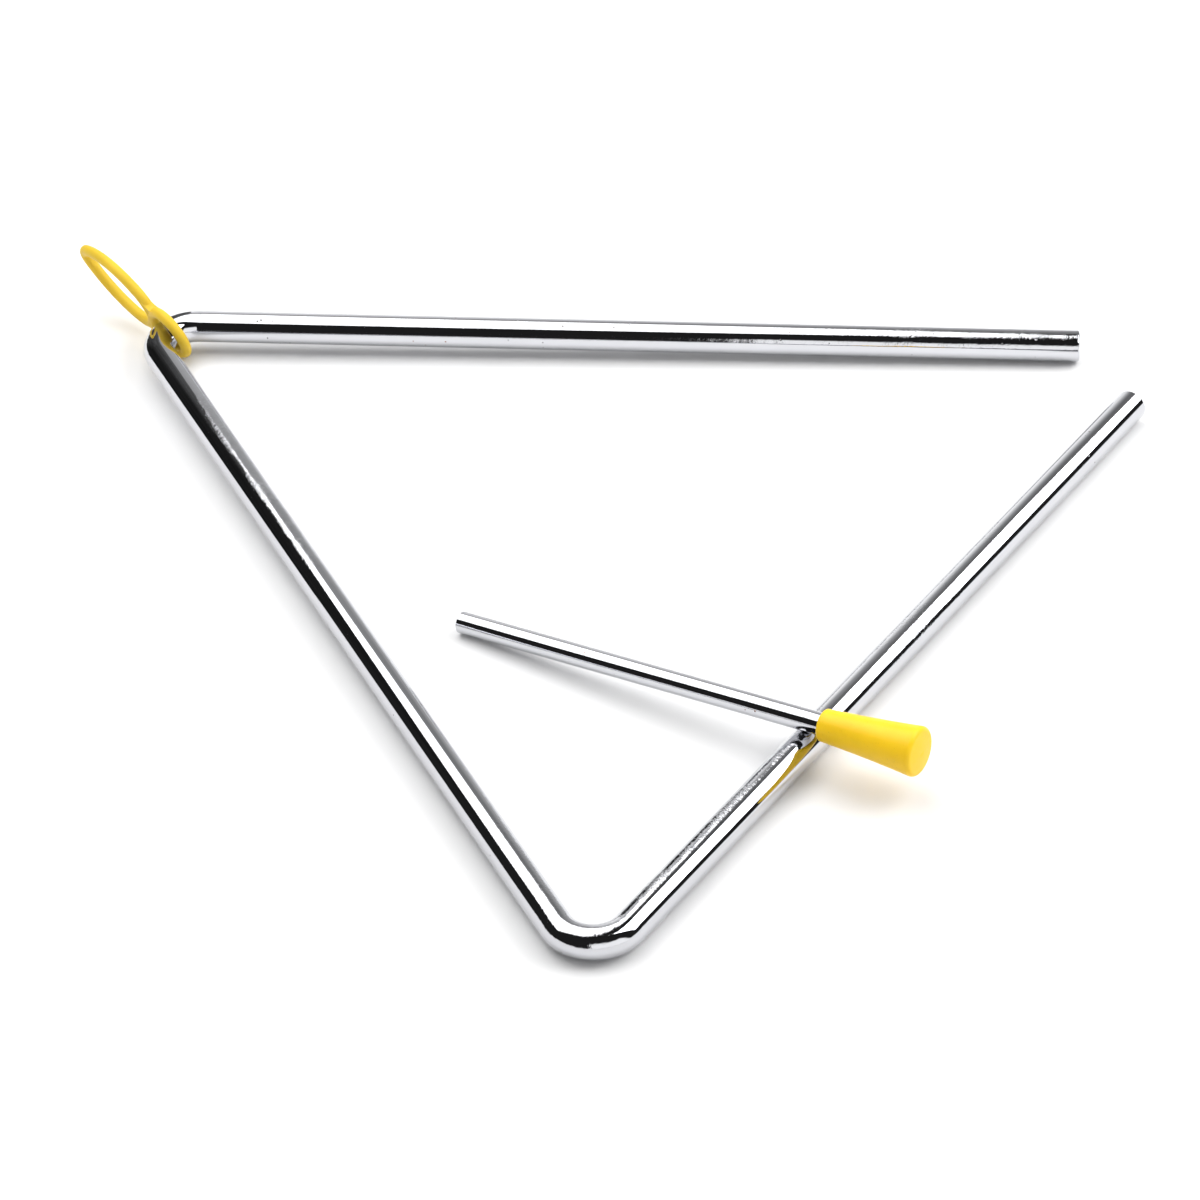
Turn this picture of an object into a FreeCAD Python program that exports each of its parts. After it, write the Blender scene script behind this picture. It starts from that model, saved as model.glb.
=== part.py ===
import FreeCAD, Part
import Sketcher
import math
import os
from FreeCAD import Placement, Rotation, Vector

# A hand percussion triangle: one round bar bent twice at 60 degrees, open at the third corner,
# a moulded figure-of-eight finger loop threaded on the first corner, and a short beater whose
# shaft is seated in a tapered grip. Lengths in millimetres, angles in degrees.
#
# The object lies as it does on a table. The far bend and the two free ends touch the table, the
# first corner stands on the loop's lower strand, and the beater leans with its tip on the table
# and its shaft on the right-hand bar. +X runs along the bar between the loop and the mouth,
# +Z is up, and the origin is the middle of the footprint.

# the bent bar
bar_dia = 6.0
side_len = 198.5                 # between the sharp corners that the bar's centre line would have
bend_radius = 6.75               # centre line of both bends
mouth_top = 19.8                 # free end of the top bar, back from the third corner
mouth_right = 20.5               # free end of the right-hand bar, back from the third corner
bar_end_round = 0.45

# the finger loop
strand_dia = 2.08
eye_bore = 7.4                   # the small eye that the bar passes through
ring_len = 20.5                  # centre line of the finger ring, waist to tip
waist_step = 0.3                 # the ring's strand lies this much outside the eye's at the waist
ring_tip_radius = 2.3
ring_waist_radius = 5.1
ring_side_radius = 16.6
web_thick = 1.7
web_round = 3.0
gate_flat = 0.22                 # depth of the flat left by the moulding gate at the tip
loop_seat = 142.6                # where round the first bend the eye sits, from +X
loop_turn = 137.7                # which way the loop points, from +X
loop_rise = 15.0                 # how steeply it rises
loop_roll = 17.0                 # roll about its own length

# the beater
beater_dia = 4.0
shaft_len = 84.6
shaft_chamfer = 0.35
grip_len = 18.6
grip_front_dia = 5.7
grip_end_dia = 8.9
grip_hollow = 0.14               # how far the taper curves in between its ends
grip_front_round = 0.5
grip_end_round = 0.8
grip_dome = 0.35
socket_depth = 11.2
socket_squeeze = 0.02            # the soft grip's socket is this much under the shaft
cross_at = 65.636                # where the shaft crosses the right-hand bar, from the far corner
tip_reach = 69.947               # how far the tip lies inside that crossing, in plan
beater_turn = 27.1               # how far the beater turns clockwise from +X

rest_gap = 0.15                  # hairline left where one piece rests on another

sizes = (
    ("bar_dia", bar_dia),
    ("side_len", side_len),
    ("bend_radius", bend_radius),
    ("mouth_top", mouth_top),
    ("mouth_right", mouth_right),
    ("bar_end_round", bar_end_round),
    ("strand_dia", strand_dia),
    ("eye_bore", eye_bore),
    ("ring_len", ring_len),
    ("waist_step", waist_step),
    ("ring_tip_radius", ring_tip_radius),
    ("ring_waist_radius", ring_waist_radius),
    ("ring_side_radius", ring_side_radius),
    ("web_thick", web_thick),
    ("web_round", web_round),
    ("gate_flat", gate_flat),
    ("loop_seat", loop_seat),
    ("loop_turn", loop_turn),
    ("loop_rise", loop_rise),
    ("loop_roll", loop_roll),
    ("beater_dia", beater_dia),
    ("shaft_len", shaft_len),
    ("shaft_chamfer", shaft_chamfer),
    ("grip_len", grip_len),
    ("grip_front_dia", grip_front_dia),
    ("grip_end_dia", grip_end_dia),
    ("grip_hollow", grip_hollow),
    ("grip_front_round", grip_front_round),
    ("grip_end_round", grip_end_round),
    ("grip_dome", grip_dome),
    ("socket_depth", socket_depth),
    ("socket_squeeze", socket_squeeze),
    ("cross_at", cross_at),
    ("tip_reach", tip_reach),
    ("beater_turn", beater_turn),
    ("rest_gap", rest_gap),
)
doc = FreeCAD.newDocument("triangle")
sheet = doc.addObject("Spreadsheet::Sheet", "Sizes")
for row, (alias, value) in enumerate(sizes, 1):
    sheet.set("A" + str(row), alias)
    sheet.set("B" + str(row), str(value))
    sheet.setAlias("B" + str(row), alias)
doc.recompute()


def bind(obj, prop, text):
    obj.setExpression(prop, text)


def plane_of(body, role):
    for feature in body.Origin.OriginFeatures:
        if feature.Role == role:
            return feature
    raise RuntimeError("no plane " + role)


def new_body(name, label):
    body = doc.addObject("PartDesign::Body", name)
    body.Label = label
    return body


def new_sketch(body, name, role):
    sketch = body.newObject("Sketcher::SketchObject", name)
    sketch.AttachmentSupport = [(plane_of(body, role), "")]
    sketch.MapMode = "FlatFace"
    return sketch


def rule(sketch, *args):
    return sketch.addConstraint(Sketcher.Constraint(*args))


def driven(sketch, name, text, *args):
    index = rule(sketch, *args)
    sketch.renameConstraint(index, name)
    bind(sketch, "Constraints." + name, text)
    return index


def line(start, end):
    return Part.LineSegment(start, end)


def arc(centre, radius, start_deg, end_deg):
    circle = Part.Circle(centre, Vector(0, 0, 1), radius)
    return Part.ArcOfCircle(circle, math.radians(start_deg), math.radians(end_deg))


def around(centre, radius, deg):
    angle = math.radians(deg)
    return centre + Vector(math.cos(angle), math.sin(angle), 0) * radius


def round_edges(body, name, base, edges, alias):
    fillet = body.newObject("PartDesign::Fillet", name)
    fillet.Base = (base, edges)
    bind(fillet, "Radius", "Sizes." + alias)
    return fillet


def circular_edges(shape, centre, radius, reach=0.01):
    found = []
    for number, edge in enumerate(shape.Edges, 1):
        if edge.Degenerated:
            continue
        curve = edge.Curve
        if curve.TypeId != "Part::GeomCircle":
            continue
        if abs(curve.Radius - radius) < reach and (curve.Center - centre).Length < reach:
            found.append("Edge" + str(number))
    return found


# ---------------------------------------------------------------- the bent bar
side = side_len
bend = bend_radius
bar_r = bar_dia / 2
corner_a = Vector(0, 0, 0)
corner_b = Vector(side / 2, -side * math.sqrt(3) / 2, 0)
corner_c = Vector(side, 0, 0)
centre_a = around(corner_a, 2 * bend, -30)
centre_b = around(corner_b, 2 * bend, 90)
top_end = corner_c - Vector(mouth_top, 0, 0)
right_end = around(corner_c, mouth_right, 240)

bar_body = new_body("TriangleRod", "triangle_rod")
path = new_sketch(bar_body, "BarPath", "XY_Plane")
path.addGeometry(line(top_end, around(centre_a, bend, 90)), False)
path.addGeometry(arc(centre_a, bend, 90, 210), False)
path.addGeometry(line(around(centre_a, bend, 210), around(centre_b, bend, 210)), False)
path.addGeometry(arc(centre_b, bend, 210, 330), False)
path.addGeometry(line(around(centre_b, bend, 330), right_end), False)
path.addGeometry(line(corner_a, corner_b), True)
path.addGeometry(line(corner_b, corner_c), True)
path.addGeometry(line(corner_c, corner_a), True)
rule(path, "Tangent", 0, 2, 1, 1)
rule(path, "Tangent", 1, 2, 2, 1)
rule(path, "Tangent", 2, 2, 3, 1)
rule(path, "Tangent", 3, 2, 4, 1)
rule(path, "PointOnObject", 0, 1, -1)
rule(path, "PointOnObject", 0, 2, -1)
rule(path, "Coincident", 5, 1, -1, 1)
rule(path, "Coincident", 5, 2, 6, 1)
rule(path, "Coincident", 6, 2, 7, 1)
rule(path, "Coincident", 7, 2, 5, 1)
rule(path, "PointOnObject", 6, 2, -1)
rule(path, "Equal", 5, 6)
rule(path, "Equal", 6, 7)
rule(path, "PointOnObject", 2, 1, 5)
rule(path, "PointOnObject", 2, 2, 5)
rule(path, "PointOnObject", 4, 1, 6)
rule(path, "PointOnObject", 4, 2, 6)
rule(path, "Equal", 1, 3)
driven(path, "side", "Sizes.side_len", "Distance", 5, side)
driven(path, "bend", "Sizes.bend_radius", "Radius", 1, bend)
driven(path, "mouth_a", "Sizes.mouth_top", "Distance", 0, 1, 6, 2, mouth_top)
driven(path, "mouth_b", "Sizes.mouth_right", "Distance", 4, 2, 6, 2, mouth_right)

section = new_sketch(bar_body, "BarSection", "YZ_Plane")
section.addGeometry(Part.Circle(Vector(0, 0, 0), Vector(0, 0, 1), bar_r), False)
rule(section, "Coincident", 0, 3, -1, 1)
driven(section, "bar_round", "Sizes.bar_dia", "Diameter", 0, 2 * bar_r)
bind(section, "AttachmentOffset.Base.z", "Sizes.side_len - Sizes.mouth_top")
doc.recompute()

bar = bar_body.newObject("PartDesign::AdditivePipe", "Bar")
bar.Profile = section
bar.Spine = (path, ["Edge1", "Edge2", "Edge3", "Edge4", "Edge5"])
doc.recompute()
bar_rims = circular_edges(bar.Shape, top_end, bar_r) + circular_edges(bar.Shape, right_end, bar_r)
round_edges(bar_body, "BarEnds", bar, bar_rims, "bar_end_round")
doc.recompute()

# ---------------------------------------------------------------- the finger loop
# Lies in its own XY plane: the eye is centred on the origin and the ring runs out along +X.
strand_r = strand_dia / 2
eye_r = eye_bore / 2 + strand_r
ring_from = eye_r + waist_step
ring_tip = Vector(ring_from + ring_len, 0, 0)
tip_r = ring_tip_radius
waist_r = ring_waist_radius
side_r = ring_side_radius
eye_centre = Vector(0, 0, 0)
tip_centre = ring_tip - Vector(tip_r, 0, 0)
waist_centre = Vector(ring_from + waist_r, 0, 0)

# centre of the long side arc, which runs tangent into the tip arc and the waist arc
span = tip_centre.x - waist_centre.x
lean_in = ((side_r - waist_r) ** 2 - (side_r - tip_r) ** 2) / (2 * span)
flank_x = waist_centre.x + span / 2 + lean_in
flank_y = -math.sqrt((side_r - tip_r) ** 2 - (tip_centre.x - flank_x) ** 2)
flank = Vector(flank_x, flank_y, 0)
tip_angle = math.degrees(math.atan2(-flank.y, tip_centre.x - flank.x))
waist_angle = math.degrees(math.atan2(-flank.y, waist_centre.x - flank.x))

loop_body = new_body("FingerLoop", "finger_loop")
ring_path = new_sketch(loop_body, "RingPath", "XY_Plane")
ring_path.addGeometry(arc(tip_centre, tip_r, 0, tip_angle), False)
ring_path.addGeometry(arc(flank, side_r, tip_angle, waist_angle), False)
ring_path.addGeometry(arc(waist_centre, waist_r, waist_angle, 180), False)
rule(ring_path, "Tangent", 0, 2, 1, 1)
rule(ring_path, "Tangent", 1, 2, 2, 1)
rule(ring_path, "PointOnObject", 0, 1, -1)
rule(ring_path, "PointOnObject", 0, 3, -1)
rule(ring_path, "PointOnObject", 2, 2, -1)
rule(ring_path, "PointOnObject", 2, 3, -1)
driven(ring_path, "tip", "Sizes.ring_tip_radius", "Radius", 0, tip_r)
driven(ring_path, "flank", "Sizes.ring_side_radius", "Radius", 1, side_r)
driven(ring_path, "waist", "Sizes.ring_waist_radius", "Radius", 2, waist_r)
driven(ring_path, "reach", "Sizes.ring_len", "DistanceX", 2, 2, 0, 1, ring_len)
begin = "(Sizes.eye_bore + Sizes.strand_dia) / 2 + Sizes.waist_step"
driven(ring_path, "start", begin, "DistanceX", -1, 1, 2, 2, ring_from)

ring_section = new_sketch(loop_body, "RingSection", "XZ_Plane")
ring_section.addGeometry(Part.Circle(ring_tip, Vector(0, 0, 1), strand_r), False)
rule(ring_section, "PointOnObject", 0, 3, -1)
reach = begin + " + Sizes.ring_len"
driven(ring_section, "tip_x", reach, "DistanceX", -1, 1, 0, 3, ring_tip.x)
driven(ring_section, "strand", "Sizes.strand_dia", "Diameter", 0, 2 * strand_r)
doc.recompute()

ring = loop_body.newObject("PartDesign::AdditivePipe", "RingHalf")
ring.Profile = ring_section
ring.Spine = (ring_path, ["Edge1", "Edge2", "Edge3"])
doc.recompute()
ring_whole = loop_body.newObject("PartDesign::Mirrored", "RingWhole")
ring_whole.Originals = [ring]
ring_whole.MirrorPlane = (plane_of(loop_body, "XZ_Plane"), [""])
loop_body.Tip = ring_whole
doc.recompute()

eye_section = new_sketch(loop_body, "EyeSection", "XZ_Plane")
eye_section.addGeometry(Part.Circle(Vector(eye_r, 0, 0), Vector(0, 0, 1), strand_r), False)
rule(eye_section, "PointOnObject", 0, 3, -1)
driven(eye_section, "eye_x", "(Sizes.eye_bore + Sizes.strand_dia) / 2", "DistanceX", -1, 1, 0, 3, eye_r)
driven(eye_section, "strand", "Sizes.strand_dia", "Diameter", 0, 2 * strand_r)
eye = loop_body.newObject("PartDesign::Revolution", "Eye")
eye.Profile = eye_section
eye.ReferenceAxis = (eye_section, ["V_Axis"])
eye.Angle = 360
doc.recompute()

# the two crotches at the waist are filled by a thin web with a hollow edge on each side
half_web = web_thick / 2
bite = math.sqrt(strand_r ** 2 - half_web ** 2)
web_r = web_round
eye_reach = eye_r + bite + web_r
ring_reach = waist_r + bite + web_r
web_x = (eye_reach ** 2 - ring_reach ** 2 + waist_centre.x ** 2) / (2 * waist_centre.x)
web_y = math.sqrt(eye_reach ** 2 - web_x ** 2)
web_top = Vector(web_x, web_y, 0)
web_low = Vector(web_x, -web_y, 0)
eye_deg = math.degrees(math.atan2(web_y, web_x))
ring_deg = math.degrees(math.atan2(web_y, web_x - waist_centre.x))

web = new_sketch(loop_body, "WebOutline", "XY_Plane")
eye_top = around(web_top, web_r, eye_deg + 180)
ring_top = around(web_top, web_r, ring_deg + 180)
eye_low = around(web_low, web_r, 180 - eye_deg)
ring_low = around(web_low, web_r, 180 - ring_deg)
neck_eye = Vector(eye_r, 0, 0)
neck_ring = Vector(ring_from, 0, 0)
web.addGeometry(arc(web_top, web_r, eye_deg + 180, ring_deg + 180), False)
web.addGeometry(line(ring_top, neck_ring), False)
web.addGeometry(line(neck_ring, ring_low), False)
web.addGeometry(arc(web_low, web_r, 180 - ring_deg, 180 - eye_deg), False)
web.addGeometry(line(eye_low, neck_eye), False)
web.addGeometry(line(neck_eye, eye_top), False)
rule(web, "Coincident", 0, 2, 1, 1)
rule(web, "Coincident", 1, 2, 2, 1)
rule(web, "Coincident", 2, 2, 3, 1)
rule(web, "Coincident", 3, 2, 4, 1)
rule(web, "Coincident", 4, 2, 5, 1)
rule(web, "Coincident", 5, 2, 0, 1)
rule(web, "PointOnObject", 1, 2, -1)
rule(web, "PointOnObject", 4, 2, -1)
rule(web, "Symmetric", 0, 1, 3, 2, -1)
rule(web, "Vertical", 0, 2, 3, 1)
rule(web, "Symmetric", 0, 3, 3, 3, -1)
driven(web, "web_round", "Sizes.web_round", "Radius", 0, web_r)
rule(web, "DistanceX", -1, 1, 4, 2, eye_r)
rule(web, "DistanceX", -1, 1, 1, 2, ring_from)
rule(web, "DistanceX", -1, 1, 0, 3, web_x)
rule(web, "DistanceY", -1, 1, 0, 3, web_y)
rule(web, "DistanceX", -1, 1, 0, 1, eye_top.x)
rule(web, "DistanceX", -1, 1, 0, 2, ring_top.x)
doc.recompute()
web_pad = loop_body.newObject("PartDesign::Pad", "Web")
web_pad.Profile = web
web_pad.Midplane = True
bind(web_pad, "Length", "Sizes.web_thick")
doc.recompute()

gate = new_sketch(loop_body, "GateFlat", "XY_Plane")
gate_x = ring_tip.x + strand_r - gate_flat
gate.addGeometry(line(Vector(gate_x, -3, 0), Vector(gate_x + 2, -3, 0)), False)
gate.addGeometry(line(Vector(gate_x + 2, -3, 0), Vector(gate_x + 2, 3, 0)), False)
gate.addGeometry(line(Vector(gate_x + 2, 3, 0), Vector(gate_x, 3, 0)), False)
gate.addGeometry(line(Vector(gate_x, 3, 0), Vector(gate_x, -3, 0)), False)
rule(gate, "Coincident", 0, 2, 1, 1)
rule(gate, "Coincident", 1, 2, 2, 1)
rule(gate, "Coincident", 2, 2, 3, 1)
rule(gate, "Coincident", 3, 2, 0, 1)
rule(gate, "Horizontal", 0)
rule(gate, "Vertical", 1)
rule(gate, "Horizontal", 2)
rule(gate, "Symmetric", 0, 1, 2, 2, -1)
driven(gate, "wide", "Sizes.strand_dia * 2.5", "Distance", 1, 6)
driven(gate, "deep", "Sizes.strand_dia", "Distance", 0, 2)
gate_place = reach + " + Sizes.strand_dia / 2 - Sizes.gate_flat"
driven(gate, "gate_x", gate_place, "DistanceX", -1, 1, 0, 1, gate_x)
doc.recompute()
gate_cut = loop_body.newObject("PartDesign::Pocket", "GateCut")
gate_cut.Profile = gate
gate_cut.Midplane = True
gate_cut.Type = "Length"
bind(gate_cut, "Length", "Sizes.strand_dia * 2")
doc.recompute()

# ---------------------------------------------------------------- the beater
# Both pieces share one axis, +X, with the striking tip's end face on the origin.
beater_r = beater_dia / 2
grip_start = shaft_len - socket_depth
grip_end = grip_start + grip_len
front_r = grip_front_dia / 2
end_r = grip_end_dia / 2

shaft_body = new_body("BeaterRod", "beater_rod")
shaft_section = new_sketch(shaft_body, "ShaftSection", "YZ_Plane")
shaft_section.addGeometry(Part.Circle(Vector(0, 0, 0), Vector(0, 0, 1), beater_r), False)
rule(shaft_section, "Coincident", 0, 3, -1, 1)
driven(shaft_section, "shaft", "Sizes.beater_dia", "Diameter", 0, 2 * beater_r)
doc.recompute()
shaft = shaft_body.newObject("PartDesign::Pad", "Shaft")
shaft.Profile = shaft_section
bind(shaft, "Length", "Sizes.shaft_len")
doc.recompute()
shaft_rims = circular_edges(shaft.Shape, Vector(0, 0, 0), beater_r)
shaft_rims += circular_edges(shaft.Shape, Vector(shaft_len, 0, 0), beater_r)
shaft_ends = shaft_body.newObject("PartDesign::Chamfer", "ShaftEnds")
shaft_ends.Base = (shaft, shaft_rims)
bind(shaft_ends, "Size", "Sizes.shaft_chamfer")
doc.recompute()

# The grip is turned: a rounded nose, a taper that curves in slightly, a rounded heel and a
# shallow dome, with a blind socket from the front.
socket_r = (beater_dia - socket_squeeze) / 2
taper_chord = Vector(grip_len, end_r - front_r, 0)
hollow = grip_hollow
taper_mid = taper_chord * 0.5 + Vector(taper_chord.y, -taper_chord.x, 0).normalize() * hollow
nose = Vector(grip_start, front_r, 0)
heel = Vector(grip_end, end_r, 0)
dome_top = Vector(grip_end + grip_dome, 0, 0)
socket_end = grip_start + socket_depth

grip_body = new_body("BeaterGrip", "beater_grip")
turned = new_sketch(grip_body, "GripProfile", "XY_Plane")
taper_arc = Part.Arc(nose, nose + taper_mid, heel)
dome_radius = (end_r ** 2 + grip_dome ** 2) / (2 * grip_dome)
dome_centre = dome_top - Vector(dome_radius, 0, 0)
dome_deg = math.degrees(math.asin(end_r / dome_radius))
turned.addGeometry(line(Vector(socket_end, 0, 0), Vector(socket_end, socket_r, 0)), False)
turned.addGeometry(line(Vector(socket_end, socket_r, 0), Vector(grip_start, socket_r, 0)), False)
turned.addGeometry(line(Vector(grip_start, socket_r, 0), nose), False)
turned.addGeometry(taper_arc, False)
turned.addGeometry(arc(dome_centre, dome_radius, 0, dome_deg), False)
turned.addGeometry(line(dome_top, Vector(socket_end, 0, 0)), False)
taper_radius = turned.Geometry[3].Radius
taper_start, taper_stop = (1, 2)
if (turned.Geometry[3].StartPoint - nose).Length > (turned.Geometry[3].EndPoint - nose).Length:
    taper_start, taper_stop = (2, 1)
rule(turned, "Coincident", 0, 2, 1, 1)
rule(turned, "Coincident", 1, 2, 2, 1)
rule(turned, "Coincident", 2, 2, 3, taper_start)
rule(turned, "Coincident", 3, taper_stop, 4, 2)
rule(turned, "Coincident", 4, 1, 5, 1)
rule(turned, "Coincident", 5, 2, 0, 1)
rule(turned, "Vertical", 0)
rule(turned, "Horizontal", 1)
rule(turned, "Vertical", 2)
rule(turned, "PointOnObject", 0, 1, -1)
rule(turned, "PointOnObject", 5, 1, -1)
rule(turned, "PointOnObject", 4, 3, -1)
driven(turned, "socket", "(Sizes.beater_dia - Sizes.socket_squeeze) / 2", "DistanceY", -1, 1, 0, 2, socket_r)
driven(turned, "front", "Sizes.grip_front_dia / 2", "DistanceY", -1, 1, 2, 2, front_r)
driven(turned, "heel", "Sizes.grip_end_dia / 2", "DistanceY", -1, 1, 4, 2, end_r)
driven(turned, "begin", "Sizes.shaft_len - Sizes.socket_depth", "DistanceX", -1, 1, 2, 1, grip_start)
driven(turned, "deep", "Sizes.socket_depth", "DistanceX", 1, 2, 1, 1, socket_depth)
driven(turned, "long", "Sizes.grip_len", "DistanceX", 2, 2, 4, 2, grip_len)
driven(turned, "dome", "Sizes.grip_dome", "DistanceX", 4, 2, 4, 1, grip_dome)
rule(turned, "Radius", 3, taper_radius)
doc.recompute()
grip = grip_body.newObject("PartDesign::Revolution", "Grip")
grip.Profile = turned
grip.ReferenceAxis = (turned, ["H_Axis"])
grip.Angle = 360
doc.recompute()
nose_rim = circular_edges(grip.Shape, Vector(grip_start, 0, 0), front_r)
heel_rim = circular_edges(grip.Shape, Vector(grip_end, 0, 0), end_r)
nose_round = round_edges(grip_body, "Nose", grip, nose_rim, "grip_front_round")
doc.recompute()
heel_rim = circular_edges(nose_round.Shape, Vector(grip_end, 0, 0), end_r)
round_edges(grip_body, "Heel", nose_round, heel_rim, "grip_end_round")
doc.recompute()

# ---------------------------------------------------------------- how the pieces lie
gap = rest_gap
loop_axis = Vector(
    math.cos(math.radians(loop_turn)) * math.cos(math.radians(loop_rise)),
    math.sin(math.radians(loop_turn)) * math.cos(math.radians(loop_rise)),
    math.sin(math.radians(loop_rise)),
)
level = Vector(0, 0, 1).cross(loop_axis).normalize()
upright = loop_axis.cross(level)
roll = math.radians(loop_roll)
loop_width = upright * math.cos(roll) + level * math.sin(roll)
loop_normal = loop_axis.cross(loop_width)
loop_turned = Rotation(loop_axis, loop_width, loop_normal, "XYZ")

bar_line = Part.Wire([edge.copy() for edge in path.Shape.Edges[:3]])
eye_line = Part.Wire([Part.Circle(eye_centre, Vector(0, 0, 1), eye_r).toShape()])
seat_point = around(centre_a, bend, loop_seat)
far_bar = (corner_c - corner_b).normalize()
eye_height = gap / 2 + strand_r + eye_r * math.sqrt(1 - loop_normal.z ** 2)


def bar_place(lean_deg):
    """The bar on the table, tipped about its far side until the first corner is up."""
    tip_up = Rotation(far_bar, -lean_deg)
    if tip_up.multVec(corner_a - corner_b).z < 0:
        tip_up = tip_up.inverted()
    lifted = corner_b + Vector(0, 0, bar_r) - tip_up.multVec(corner_b)
    return Placement(lifted, tip_up)


def loop_place(lean_deg):
    """The loop round the first bend, its lowest strand on the table."""
    middle = bar_place(lean_deg).multVec(seat_point)
    return Placement(Vector(middle.x, middle.y, eye_height), loop_turned)


def strand_gap(lean_deg):
    near = bar_line.copy()
    near.Placement = bar_place(lean_deg)
    ring_round = eye_line.copy()
    ring_round.Placement = loop_place(lean_deg)
    return near.distToShape(ring_round)[0] - bar_r - strand_r


# the lean at which the bar lies on the strand below it, by halving, from a flat bar up to one
# that runs through the eye's centre
seat_reach = (seat_point - corner_b).cross(far_bar).Length
low, high = 0.0, math.degrees(math.asin((eye_height - bar_r) / seat_reach))
for step in range(40):
    lean = (low + high) / 2
    if strand_gap(lean) < gap:
        low = lean
    else:
        high = lean
if abs(strand_gap(lean) - gap) > 0.001:
    raise RuntimeError("the eye leaves the bar no room: " + str(strand_gap(lean)))
bar_at = bar_place(lean)
loop_at = loop_place(lean)

turn = math.radians(-beater_turn)
crossing = corner_b + far_bar * cross_at


def beater_axis(rise_deg):
    rise = math.radians(rise_deg)
    across = Vector(math.cos(turn), math.sin(turn), 0)
    tip = crossing - across * tip_reach
    tip.z = beater_r * math.cos(rise)
    return tip, across * math.cos(rise) + Vector(0, 0, math.sin(rise))


def beater_gap(rise_deg):
    tip, along = beater_axis(rise_deg)
    apart = along.cross(far_bar).normalize()
    if apart.z < 0:
        apart = apart * -1
    from_bar = tip - (corner_b + Vector(0, 0, bar_r))
    return from_bar.dot(apart) - bar_r - beater_r


low, high = 0.0, 45.0
for step in range(40):
    rise = (low + high) / 2
    if beater_gap(rise) < gap:
        low = rise
    else:
        high = rise
tip, along = beater_axis(rise)
beater_at = Placement(tip, Rotation(Vector(1, 0, 0), along))

placed = [
    (bar_body, bar_at),
    (loop_body, loop_at),
    (shaft_body, beater_at),
    (grip_body, beater_at),
]
box = FreeCAD.BoundBox()
for body, place in placed:
    body.Placement = place
    solid = body.Shape.copy()
    box.add(solid.optimalBoundingBox(False, False))
to_origin = Vector(-box.Center.x, -box.Center.y, -box.ZMin)
for body, place in placed:
    body.Placement = Placement(place.Base + to_origin, place.Rotation)
doc.recompute()

# ---------------------------------------------------------------- checks and output
for obj in doc.Objects:
    for state in obj.State:
        if state in ("Invalid", "Error"):
            raise RuntimeError(obj.Name + " failed: " + state)
for body, place in placed:
    if body.Shape.isNull() or not body.Shape.isValid() or len(body.Shape.Solids) != 1:
        raise RuntimeError(body.Label + " has no valid single solid")

seat_at = bar_at.multVec(seat_point) + to_origin
seat_along = bar_at.Rotation.multVec(around(Vector(0, 0, 0), 1, loop_seat - 90))
eye_point = loop_at.Base + to_origin
print("lean", round(lean, 4), "beater rise", round(rise, 4))
print("bar's middle at the seat", [round(value, 4) for value in seat_at])
print("bar's direction there", [round(value, 6) for value in seat_along])
print("centre of the eye", [round(value, 4) for value in eye_point])
print("move to the origin", [round(value, 4) for value in to_origin])

os.makedirs("parts", exist_ok=True)
for body, place in placed:
    solid = body.Shape
    print(body.Label, "volume", round(solid.Volume, 3), "box", solid.BoundBox)
    solid.exportStep("parts/" + body.Label + ".step")
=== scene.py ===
import math

import bmesh
import bpy
from bpy.props import FloatProperty, FloatVectorProperty, PointerProperty
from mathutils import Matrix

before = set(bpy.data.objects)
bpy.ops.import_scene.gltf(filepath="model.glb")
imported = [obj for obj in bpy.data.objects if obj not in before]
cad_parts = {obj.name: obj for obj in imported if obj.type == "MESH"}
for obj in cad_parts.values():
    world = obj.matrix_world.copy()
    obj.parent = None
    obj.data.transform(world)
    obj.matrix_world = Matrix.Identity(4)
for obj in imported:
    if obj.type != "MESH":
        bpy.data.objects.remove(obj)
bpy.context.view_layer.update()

bl_info = {
    "name": "Hand percussion triangle",
    "version": (1, 0, 0),
    "blender": (4, 5, 0),
    "location": "View3D > Sidebar > Triangle",
    "description": "Finishes a chromed triangle, its finger loop and its beater on a studio table",
    "category": "Object",
}


# ---------------------------------------------------------------- sizes and colours
class BarSettings(bpy.types.PropertyGroup):
    """Plating on the bent bar and the beater's rod."""

    plating: FloatVectorProperty(
        name="Plating", description="Colour of the bright plating", subtype="COLOR",
        size=3, min=0, max=1, default=(0.60, 0.605, 0.63))
    polish: FloatProperty(
        name="Polish roughness", description="Roughness of the clean plating",
        default=0.035, min=0, max=1)
    ripple: FloatProperty(
        name="Ripple", description="Height of the ripples left by drawing and polishing",
        default=0.000008, min=0, unit="LENGTH", precision=6)
    scuff: FloatProperty(
        name="Scuff height", description="Height of the grain in the scuffed patches",
        default=0.00007, min=0, unit="LENGTH", precision=6)
    pit: FloatProperty(
        name="Pit depth", description="Depth of the pinholes in the plating",
        default=0.00004, min=0, unit="LENGTH", precision=6)


class PlasticSettings(bpy.types.PropertyGroup):
    """The two moulded plastics."""

    loop_colour: FloatVectorProperty(
        name="Loop", description="Colour of the soft finger loop", subtype="COLOR",
        size=3, min=0, max=1, default=(0.74, 0.50, 0.028))
    grip_colour: FloatVectorProperty(
        name="Grip", description="Colour of the beater's grip", subtype="COLOR",
        size=3, min=0, max=1, default=(0.96, 0.605, 0.010))
    grain: FloatProperty(
        name="Mould grain", description="Height of the grain left by the mould",
        default=0.000008, min=0, unit="LENGTH", precision=6)


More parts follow.
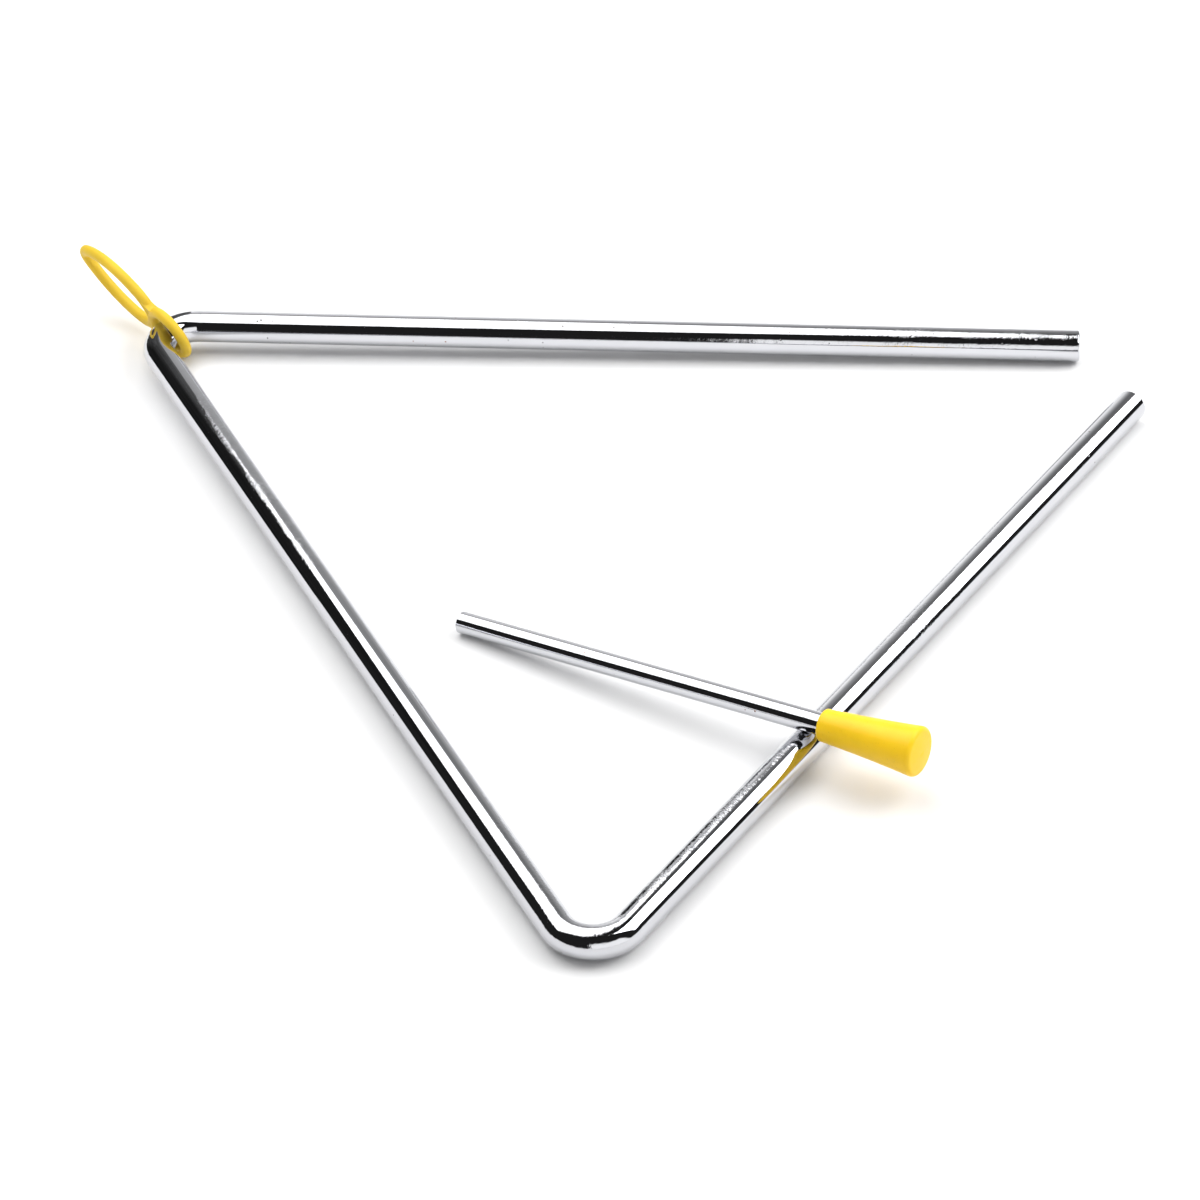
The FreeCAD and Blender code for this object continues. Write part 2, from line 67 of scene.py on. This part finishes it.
class StageSettings(bpy.types.PropertyGroup):
    """Table, surroundings, light and camera."""

    table_size: FloatProperty(
        name="Table", description="Side of the white table",
        default=6.0, min=1, unit="LENGTH")
    lamp_height: FloatProperty(
        name="Lamp height", description="Height of the soft lights over the table",
        default=0.6, min=0.3, unit="LENGTH")
    lamp_level: FloatProperty(
        name="Lamp level", description="Brightness of the soft lights' faces",
        default=2.95, min=0)
    fill_level: FloatProperty(
        name="Fill level", description="Brightness of the light from all round",
        default=0.42, min=0)
    room_radius: FloatProperty(
        name="Room", description="Distance of the dark surroundings that the metal shows",
        default=3.2, min=1, unit="LENGTH")
    lens: FloatProperty(
        name="Lens", description="Focal length", default=136.05, min=10, unit="CAMERA")


# ---------------------------------------------------------------- values of the finishes
# A ramp is two readings and what it gives at each of them, or only the two readings
# where it runs from 0 to 1. It keeps its end values outside them.
WHITE = (1, 1, 1, 1)
CLOUDS = (0.3, 0.7)
PLATING_TONES = (0.97, 1.02)
SMUDGE_SHADES = (0.35, 0.65)
SMUDGE_DULLS = (0.45, 0.75)
DULLEST = 1.8
PINHOLES_PER_METRE = 520.0
PINHOLE_SIZE = (0.05, 0.11, 1.0, 0.0)
PINHOLE_CLUSTERS = (0.52, 0.62)
PINHOLE_COLOUR = (0.16, 0.15, 0.15)
PINHOLE_ROUGHNESS = 0.3
RUSTY_PLACES = (0.6, 0.66)
RUST_COLOUR = (0.32, 0.12, 0.05)
WAVE_TO_RIPPLE = 1.5
DENT_TO_SCUFF = 0.6

# The bar is scuffed most at these places: their middle and reach in metres, the side of
# the bar that they lie on, and how strong they are.
WORN = (
    ((-0.060, 0.026, 0.004), 0.036, (0.87, 0.5, 0.6), 0.8),
    ((0.030, -0.062, 0.003), 0.042, (-0.87, 0.5, 0.2), 1.0),
    ((0.078, 0.0765, 0.003), 0.040, (0.0, 0.3, 1.0), 0.5),
    ((0.066, 0.0, 0.003), 0.034, (-0.87, 0.5, 0.2), 0.45),
)
WORN_CORE = 0.5
WORN_SIDE = (0.0002, 0.0014)
WORN_ANYWHERE = (0.58, 0.68, 0.0, 0.4)
WORN_BREAKS = (0.4, 0.6)
LEAST_WORN = 0.25
WORN_ROUGHNESS = 0.03
BAR_WEAR = 1.0
BEATER_WEAR = 0.2

MOULDED_TONES = (0.93, 1.03)
DUST_SPECKS = (0.70, 0.76)
DUST_STRENGTH = 0.35
DUST_SHADE = 0.6
LOOP_ROUGHNESS = 0.5
GRIP_ROUGHNESS = 0.36
SMOOTHER, ROUGHER = 0.05, 0.06
CLOUD_TO_GRAIN = 3
MOULDED_SHINE = 0.28
MOULDED_DEPTH = {
    "Subsurface Weight": 0.12,
    "Subsurface Radius": (0.9, 0.5, 0.1),
    "Subsurface Scale": 0.0015,
}

# ---------------------------------------------------------------- values of the stage
TABLE_TONES = ((0.80, 0.80, 0.80), (0.81, 0.81, 0.815))
TABLE_LIFT = (0.3, 1.6, 0.0, 0.95)

# Each soft light's left and right edge, its front and far edge, in heights of the lamps
# from the middle of the table, and its share of the lamps' level.
LAMPS = (
    ("left_light", "RECTANGLE", (-1.03, -0.30), (-0.30, 1.18), 0.8),
    ("middle_light", "ELLIPSE", (-0.80, 0.20), (-0.36, 1.12), 0.8),
    ("right_light", "RECTANGLE", (0.45, 2.32), (-0.27, 0.95), 1.5),
)

# The room is painted by direction from the middle of the table: its glow is a painted reflection,
# seen only in the metal. East, north and high are the three parts of a direction of length 1, and
# across is east over north.
ROOM_FOOT = 0.06
ROOM_DARK = 0.018
LEAST_DIVISOR = 0.1

# The table's white, painted round the foot of the room as a glow that only the metal reflects, and
# how far up it runs.
FRONT_LEFT = (-0.80, -0.57, 0.2)
TOP_BY_FRONT_LEFT = (0.82, 1.0, 0.12, 0.46)
TOP_IN_FRONT = 0.55
TOP_BY_EAST = (0.75, 0.93, 0.6, 0.07)
FRONT_BY_EAST = (-0.08, -0.03)
FRONT_BY_NORTH = (-0.3, -0.5)
FRONT_STAYS_WHITE = 0.8
FOOT_LINE = 0.02
FOOT_LEVEL = 1.35

# The back wall, painted as a glow that only the metal reflects: bright left of the middle and grey
# right of it, with a dark gap low on its left side.
WALL_LEVEL = (-0.33, 0.15, 1.4, 0.45)
WALL_BY_HEIGHT = (0.25, 0.56, 1.0, 0.42)
WALL_RIGHT_END = (0.55, 0.8, 1.0, 0.0)
WALL_LEFT_END = (-1.0, -1.3)
WALL_NEAR_END = (0.25, 0.4)
WALL_TOP = (0.76, 0.84, 1.0, 0.0)
GAP_SIDE = (-0.33, -0.37)
GAP_TOP = (0.42, 0.46, 1.0, 0.0)
GAP_FOOT = (0.02, 0.06)

# The dark card's corners, in metres, and how its glowing grey and its mottling run. The card is a
# painted dark reflection, seen only in the metal.
CARD = (
    (-0.100, 0.181, 0.002),
    (-0.300, 0.071, 0.002),
    (-0.300, 0.071, 0.285),
    (-0.100, 0.181, 0.126),
)
CARD_LEVEL = (-0.19, -0.10, 0.015, 0.13)
CARD_MOTTLE = (0.3, 0.7, 0.6, 1.4)

CAMERA_PLACE = (0.071605, -0.618575, 0.507088)
CAMERA_DEGREES = (50.892422, 2.237598, 4.319517)
SENSOR_WIDTH = 36


# ---------------------------------------------------------------- small helpers
def settings(name):
    return getattr(bpy.context.scene, name)


def shade(colour, factor):
    return tuple(channel * factor for channel in colour[:3])


def opaque(colour):
    return colour if isinstance(colour, bpy.types.NodeSocket) else (*colour[:3], 1)


class Nodes:
    """The nodes of a material or world. Each method adds some and gives their output."""

    def __init__(self, owner):
        owner.use_nodes = True
        self.owner = owner
        self.tree = owner.node_tree
        self.tree.nodes.clear()

    def add(self, kind, values=None, **props):
        node = self.tree.nodes.new(kind)
        for prop, value in props.items():
            setattr(node, prop, value)
        for socket, value in (values or {}).items():
            if isinstance(value, bpy.types.NodeSocket):
                self.tree.links.new(value, node.inputs[socket])
            else:
                node.inputs[socket].default_value = value
        return node

    def place(self):
        return self.add("ShaderNodeTexCoord").outputs["Object"]

    def axes(self, vector):
        return self.add("ShaderNodeSeparateXYZ", {0: vector}).outputs

    def math(self, operation, first, second=0.0, clamp=False):
        values = {0: first, 1: second}
        return self.add("ShaderNodeMath", values, operation=operation, use_clamp=clamp).outputs[0]

    def times(self, first, second):
        return self.math("MULTIPLY", first, second)

    def without(self, share):
        return self.math("SUBTRACT", 1.0, share)

    def vector(self, operation, first, second=None):
        values = {0: first} if second is None else {0: first, 1: second}
        node = self.add("ShaderNodeVectorMath", values, operation=operation)
        gives_number = operation in ("LENGTH", "DOT_PRODUCT")
        return node.outputs["Value" if gives_number else "Vector"]

    def noise(self, place, scale, detail=2.0, roughness=0.5):
        values = {"Vector": place, "Scale": scale, "Detail": detail, "Roughness": roughness}
        return self.add("ShaderNodeTexNoise", values).outputs["Fac"]

    def between(self, value, low, high, new_low=0.0, new_high=1.0):
        values = {0: value, 1: low, 2: high, 3: new_low, 4: new_high}
        return self.add("ShaderNodeMapRange", values, clamp=True).outputs[0]

    def mix(self, share, first, second):
        values = {0: share, 6: opaque(first), 7: opaque(second)}
        return self.add("ShaderNodeMix", values, data_type="RGBA").outputs[2]

    def bump(self, height, distance, normal=None):
        values = {"Height": height, "Distance": distance, "Strength": 1.0}
        if normal is not None:
            values["Normal"] = normal
        return self.add("ShaderNodeBump", values).outputs["Normal"]

    def seen(self):
        """1 where the camera looks, also by way of metal or glass, and 0 for other light."""
        path = self.add("ShaderNodeLightPath").outputs
        seen = self.math("ADD", path["Is Camera Ray"], path["Is Glossy Ray"])
        return self.math("ADD", seen, path["Is Transmission Ray"], clamp=True)

    def glow(self, strength):
        values = {"Color": WHITE, "Strength": strength}
        return self.add("ShaderNodeEmission", values).outputs[0]

    def finish(self, shader, kind="ShaderNodeOutputMaterial"):
        self.add(kind, {"Surface": shader})
        return self.owner


def cover(node_name, material):
    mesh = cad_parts[node_name].data
    mesh.materials.clear()
    mesh.materials.append(material)


def mesh_object(name, shape, material):
    mesh = bpy.data.meshes.new(name)
    shape.to_mesh(mesh)
    shape.free()
    mesh.materials.append(material)
    thing = bpy.data.objects.new(name, mesh)
    bpy.context.scene.collection.objects.link(thing)
    return thing


def show_in_metal_only(thing):
    thing.visible_camera = False
    thing.visible_diffuse = False
    thing.visible_shadow = False
    thing.visible_transmission = False


# ---------------------------------------------------------------- finishes
def plating_material(name, wear):
    choice = settings("triangle_bar")
    nodes = Nodes(bpy.data.materials.new(name))
    place = nodes.place()
    smudge = nodes.noise(place, scale=55, detail=4, roughness=0.6)
    darker, lighter = (shade(choice.plating, tone) for tone in PLATING_TONES)
    colour = nodes.mix(nodes.between(smudge, *SMUDGE_SHADES), darker, lighter)

    # pinholes, in loose clusters, and some of them rusty
    cells = nodes.add("ShaderNodeTexVoronoi", {"Vector": place, "Scale": PINHOLES_PER_METRE})
    hole = nodes.between(cells.outputs["Distance"], *PINHOLE_SIZE)
    cluster = nodes.between(nodes.noise(place, scale=90), *PINHOLE_CLUSTERS)
    pinhole = nodes.times(hole, cluster)
    rusty = nodes.between(nodes.noise(place, scale=33, detail=1), *RUSTY_PLACES)
    colour = nodes.mix(pinhole, colour, PINHOLE_COLOUR)
    colour = nodes.mix(nodes.times(pinhole, rusty), colour, RUST_COLOUR)

    # scuffed patches: their grain breaks up the edges of whatever the bar reflects
    patch = nodes.noise(place, scale=21, detail=3, roughness=0.6)
    patch = nodes.between(patch, *WORN_ANYWHERE)
    for middle, reach, side, strength in WORN:
        away = nodes.vector("SUBTRACT", place, middle)
        far = nodes.vector("LENGTH", away)
        near = nodes.between(far, reach * WORN_CORE, reach, strength, 0.0)
        faces = nodes.between(nodes.vector("DOT_PRODUCT", away, side), *WORN_SIDE)
        patch = nodes.math("MAXIMUM", patch, nodes.times(near, faces))
    breaks = nodes.noise(place, scale=150)
    patch = nodes.times(patch, nodes.between(breaks, *WORN_BREAKS, LEAST_WORN * wear, wear))

    rough = nodes.between(smudge, *SMUDGE_DULLS, choice.polish, choice.polish * DULLEST)
    rough = nodes.math("ADD", rough, nodes.times(pinhole, PINHOLE_ROUGHNESS))
    rough = nodes.math("ADD", rough, nodes.times(patch, WORN_ROUGHNESS))

    wave = nodes.noise(place, scale=260, detail=2, roughness=0.4)
    streak = nodes.noise(place, scale=420, detail=5, roughness=0.65)
    dent = nodes.noise(place, scale=1200, detail=1)
    grain = nodes.noise(place, scale=2600, detail=2, roughness=0.6)
    normal = nodes.bump(wave, choice.ripple * WAVE_TO_RIPPLE)
    normal = nodes.bump(streak, choice.ripple, normal)
    normal = nodes.bump(nodes.times(patch, dent), choice.scuff * DENT_TO_SCUFF, normal)
    normal = nodes.bump(nodes.times(patch, grain), choice.scuff, normal)
    normal = nodes.bump(nodes.times(pinhole, -1.0), choice.pit, normal)
    metal = nodes.add("ShaderNodeBsdfPrincipled", {
        "Base Color": colour, "Metallic": 1.0, "Roughness": rough, "Normal": normal})
    return nodes.finish(metal.outputs[0])


def moulded_material(name, tint, roughness):
    choice = settings("triangle_plastic")
    nodes = Nodes(bpy.data.materials.new(name))
    place = nodes.place()
    cloud = nodes.noise(place, scale=140, detail=3, roughness=0.55)
    flow = nodes.noise(place, scale=900, detail=4, roughness=0.6)
    darker, lighter = (shade(tint, tone) for tone in MOULDED_TONES)
    colour = nodes.mix(nodes.between(cloud, *CLOUDS), darker, lighter)
    dust = nodes.between(nodes.noise(place, scale=2600, detail=1), *DUST_SPECKS)
    colour = nodes.mix(nodes.times(dust, DUST_STRENGTH), colour, shade(tint, DUST_SHADE))
    rough = nodes.between(flow, *CLOUDS, roughness - SMOOTHER, roughness + ROUGHER)
    normal = nodes.bump(flow, choice.grain)
    normal = nodes.bump(cloud, choice.grain * CLOUD_TO_GRAIN, normal)
    plastic = nodes.add("ShaderNodeBsdfPrincipled", {
        "Base Color": colour, "Roughness": rough, "Normal": normal,
        "Specular IOR Level": MOULDED_SHINE, **MOULDED_DEPTH})
    return nodes.finish(plastic.outputs[0])


# ---------------------------------------------------------------- the pieces
class TRIANGLE_OT_bar(bpy.types.Operator):
    """Plate the bent bar"""

    bl_idname = "triangle.bar"
    bl_label = "Bar"

    def execute(self, context):
        cover("triangle_rod", plating_material("bar_plating", BAR_WEAR))
        return {"FINISHED"}


class TRIANGLE_OT_loop(bpy.types.Operator):
    """Finish the moulded finger loop"""

    bl_idname = "triangle.loop"
    bl_label = "Finger loop"

    def execute(self, context):
        tint = settings("triangle_plastic").loop_colour
        cover("finger_loop", moulded_material("loop_moulding", tint, LOOP_ROUGHNESS))
        return {"FINISHED"}


class TRIANGLE_OT_beater(bpy.types.Operator):
    """Finish the beater's rod and its grip"""

    bl_idname = "triangle.beater"
    bl_label = "Beater"

    def execute(self, context):
        cover("beater_rod", plating_material("beater_plating", BEATER_WEAR))
        tint = settings("triangle_plastic").grip_colour
        cover("beater_grip", moulded_material("grip_moulding", tint, GRIP_ROUGHNESS))
        return {"FINISHED"}


class TRIANGLE_OT_stage(bpy.types.Operator):
    """Lay the table and set the light, the surroundings and the camera"""

    bl_idname = "triangle.stage"
    bl_label = "Stage"

    def execute(self, context):
        choice = settings("triangle_stage")
        lay_table(choice)
        hang_room(choice)
        stand_card()
        for lamp in LAMPS:
            hang_lamp(choice, *lamp)
        set_world(choice)
        set_camera(choice)
        context.scene.view_settings.view_transform = "Standard"
        return {"FINISHED"}


# ---------------------------------------------------------------- the stage
def lay_table(choice):
    """The white table. Far from the lamps it glows for the camera, so that it stays white."""
    nodes = Nodes(bpy.data.materials.new("table_white"))
    place = nodes.place()
    cloud = nodes.noise(place, scale=30)
    white = nodes.mix(nodes.between(cloud, *CLOUDS), *TABLE_TONES)
    lift = nodes.between(nodes.vector("LENGTH", place), *TABLE_LIFT)
    glow = nodes.glow(nodes.times(nodes.seen(), lift))
    diffuse = nodes.add("ShaderNodeBsdfDiffuse", {"Color": white}).outputs[0]
    both = nodes.add("ShaderNodeAddShader", {0: diffuse, 1: glow}).outputs[0]
    shape = bmesh.new()
    bmesh.ops.create_grid(shape, x_segments=2, y_segments=2, size=choice.table_size / 2)
    table = mesh_object("table", shape, nodes.finish(both))


def room_material():
    nodes = Nodes(bpy.data.materials.new("room_painted_reflection"))
    way = nodes.vector("NORMALIZE", nodes.place())
    east, north, high = nodes.axes(way)

    # the table's white, painted as glow, runs up a little all round, more at the front left, and
    # most in front on the right, where it stays white nearly to its edge
    forward = nodes.math("MAXIMUM", nodes.times(north, -1.0), LEAST_DIVISOR)
    front = nodes.between(nodes.math("DIVIDE", east, forward), *FRONT_BY_EAST)
    front = nodes.times(front, nodes.between(north, *FRONT_BY_NORTH))
    top = nodes.between(nodes.vector("DOT_PRODUCT", way, FRONT_LEFT), *TOP_BY_FRONT_LEFT)
    top = nodes.math("MAXIMUM", top, nodes.times(front, TOP_IN_FRONT))
    top = nodes.math("MINIMUM", top, nodes.between(east, *TOP_BY_EAST))
    climb = nodes.math("DIVIDE", nodes.math("SUBTRACT", high, FOOT_LINE), top)
    foot = nodes.between(climb, nodes.times(front, FRONT_STAYS_WHITE), 1.0, FOOT_LEVEL, 0.0)

    # the painted glow of the wall behind, without its gap and what lies left of it
    across = nodes.math("DIVIDE", east, nodes.math("MAXIMUM", north, LEAST_DIVISOR))
    gap = nodes.times(nodes.between(across, *GAP_SIDE), nodes.between(high, *GAP_TOP))
    gap = nodes.math("MAXIMUM", gap, nodes.between(across, *WALL_LEFT_END))
    wall = nodes.between(across, *WALL_LEVEL)
    wall = nodes.times(wall, nodes.between(high, *WALL_BY_HEIGHT))
    wall = nodes.times(wall, nodes.between(across, *WALL_RIGHT_END))
    wall = nodes.times(wall, nodes.between(north, *WALL_NEAR_END))
    wall = nodes.times(wall, nodes.between(high, *WALL_TOP))
    wall = nodes.times(wall, nodes.without(gap))
    foot = nodes.times(foot, nodes.without(nodes.times(gap, nodes.between(high, *GAP_FOOT))))

    # the glow, seen only in the metal, paints the bright and dark bands of its reflections
    level = nodes.math("ADD", nodes.math("MAXIMUM", foot, wall), ROOM_DARK)
    return nodes.finish(nodes.glow(level))


def hang_room(choice):
    """The dark room that the metal shows, open at the table. Its glow is a painted reflection: the
    room is seen only in the metal.
    """
    shape = bmesh.new()
    bmesh.ops.create_uvsphere(shape, u_segments=64, v_segments=32, radius=choice.room_radius)
    bmesh.ops.bisect_plane(
        shape, geom=shape.verts[:] + shape.edges[:] + shape.faces[:],
        plane_co=(0, 0, ROOM_FOOT), plane_no=(0, 0, -1), clear_outer=True)
    room = mesh_object("room", shape, room_material())
    show_in_metal_only(room)


def stand_card():
    """The dark card behind the first corner: a painted dark reflection, a sheet that glows grey
    and is seen only in the metal. It cuts the white off the bar's upper end.
    """
    nodes = Nodes(bpy.data.materials.new("card_painted_reflection"))
    place = nodes.place()
    mottle = nodes.between(nodes.noise(place, scale=60, detail=3), *CARD_MOTTLE)
    level = nodes.times(mottle, nodes.between(nodes.axes(place)[0], *CARD_LEVEL))
    shape = bmesh.new()
    shape.faces.new([shape.verts.new(corner) for corner in CARD])
    bmesh.ops.recalc_face_normals(shape, faces=shape.faces[:])
    card = mesh_object("dark_card_painted_reflection", shape, nodes.finish(nodes.glow(level)))
    show_in_metal_only(card)


def hang_lamp(choice, name, form, sides, ends, share):
    """One soft light's face, as bright as its share of the lamps' level at any size."""
    height = choice.lamp_height
    left, right = sides
    front, far = ends
    lamp = bpy.data.lights.new(name, "AREA")
    lamp.shape = form
    lamp.size = (right - left) * height
    lamp.size_y = (far - front) * height
    area = lamp.size * lamp.size_y * (math.pi / 4 if form == "ELLIPSE" else 1.0)
    lamp.energy = choice.lamp_level * share * math.pi * area
    holder = bpy.data.objects.new(name, lamp)
    holder.location = ((left + right) / 2 * height, (front + far) / 2 * height, height)
    holder.visible_camera = False
    bpy.context.scene.collection.objects.link(holder)


def set_world(choice):
    """White where the camera looks, and a dimmer light from all round on everything."""
    world = bpy.data.worlds.new("studio")
    bpy.context.scene.world = world
    nodes = Nodes(world)
    level = nodes.between(nodes.seen(), 0, 1, choice.fill_level, 1.0)
    sky = nodes.add("ShaderNodeBackground", {"Color": WHITE, "Strength": level})
    nodes.finish(sky.outputs[0], "ShaderNodeOutputWorld")


def set_camera(choice):
    camera = bpy.data.cameras.new("camera")
    camera.lens = choice.lens
    camera.sensor_width = SENSOR_WIDTH
    eye = bpy.data.objects.new("camera", camera)
    eye.location = CAMERA_PLACE
    eye.rotation_euler = [math.radians(turn) for turn in CAMERA_DEGREES]
    bpy.context.scene.collection.objects.link(eye)
    bpy.context.scene.camera = eye


# ---------------------------------------------------------------- panel and registration
GROUPS = (
    ("triangle_bar", BarSettings, ("triangle.bar", "triangle.beater")),
    ("triangle_plastic", PlasticSettings, ("triangle.loop",)),
    ("triangle_stage", StageSettings, ("triangle.stage",)),
)


class TRIANGLE_PT_panel(bpy.types.Panel):
    """Sizes, colours and steps of the triangle"""

    bl_idname = "TRIANGLE_PT_panel"
    bl_label = "Triangle"
    bl_space_type = "VIEW_3D"
    bl_region_type = "UI"
    bl_category = "Triangle"

    def draw(self, context):
        for name, group, steps in GROUPS:
            box = self.layout.box()
            for prop in group.__annotations__:
                box.prop(getattr(context.scene, name), prop)
            for step in steps:
                box.operator(step)


CLASSES = (
    BarSettings,
    PlasticSettings,
    StageSettings,
    TRIANGLE_OT_bar,
    TRIANGLE_OT_loop,
    TRIANGLE_OT_beater,
    TRIANGLE_OT_stage,
    TRIANGLE_PT_panel,
)


def register():
    for cls in CLASSES:
        bpy.utils.register_class(cls)
    for name, group, _ in GROUPS:
        setattr(bpy.types.Scene, name, PointerProperty(type=group))


def unregister():
    for name, _, _ in GROUPS:
        delattr(bpy.types.Scene, name)
    for cls in reversed(CLASSES):
        bpy.utils.unregister_class(cls)


def main():
    register()
    bpy.ops.triangle.bar()
    bpy.ops.triangle.loop()
    bpy.ops.triangle.beater()
    bpy.ops.triangle.stage()


if __name__ == "__main__":
    main()
